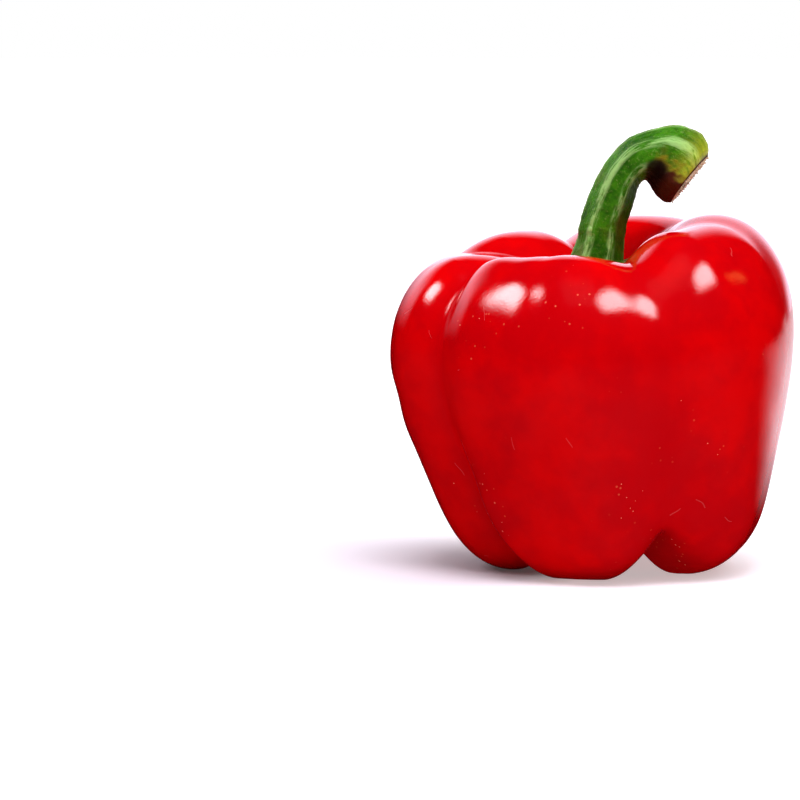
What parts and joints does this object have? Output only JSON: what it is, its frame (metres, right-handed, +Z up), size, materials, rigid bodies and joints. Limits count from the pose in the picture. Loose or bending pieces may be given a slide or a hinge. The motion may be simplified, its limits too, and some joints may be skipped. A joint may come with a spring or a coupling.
{
  "type": "bell pepper",
  "caption": "Upright red bell pepper with a lobed, lopsided glossy fruit and a ribbed green stem bending over from its toothed calyx.",
  "frame": {"origin": "under the middle of the whole pepper's box, on the surface that it stands on", "axes": "+Z up; the broad front lobe faces -Y and the stem bends over towards +X"},
  "size_m": [0.0918, 0.0864, 0.1012],
  "materials": {
    "red_skin": "smooth glossy waxy skin, deep red",
    "green_stem": "satin green with paler ribs, pale at the rim of the calyx and brown at the cut end"
  },
  "bodies": {
    "root": {"fruit": "red_skin", "stem_and_calyx": "green_stem"}
  },
  "joints": []
}
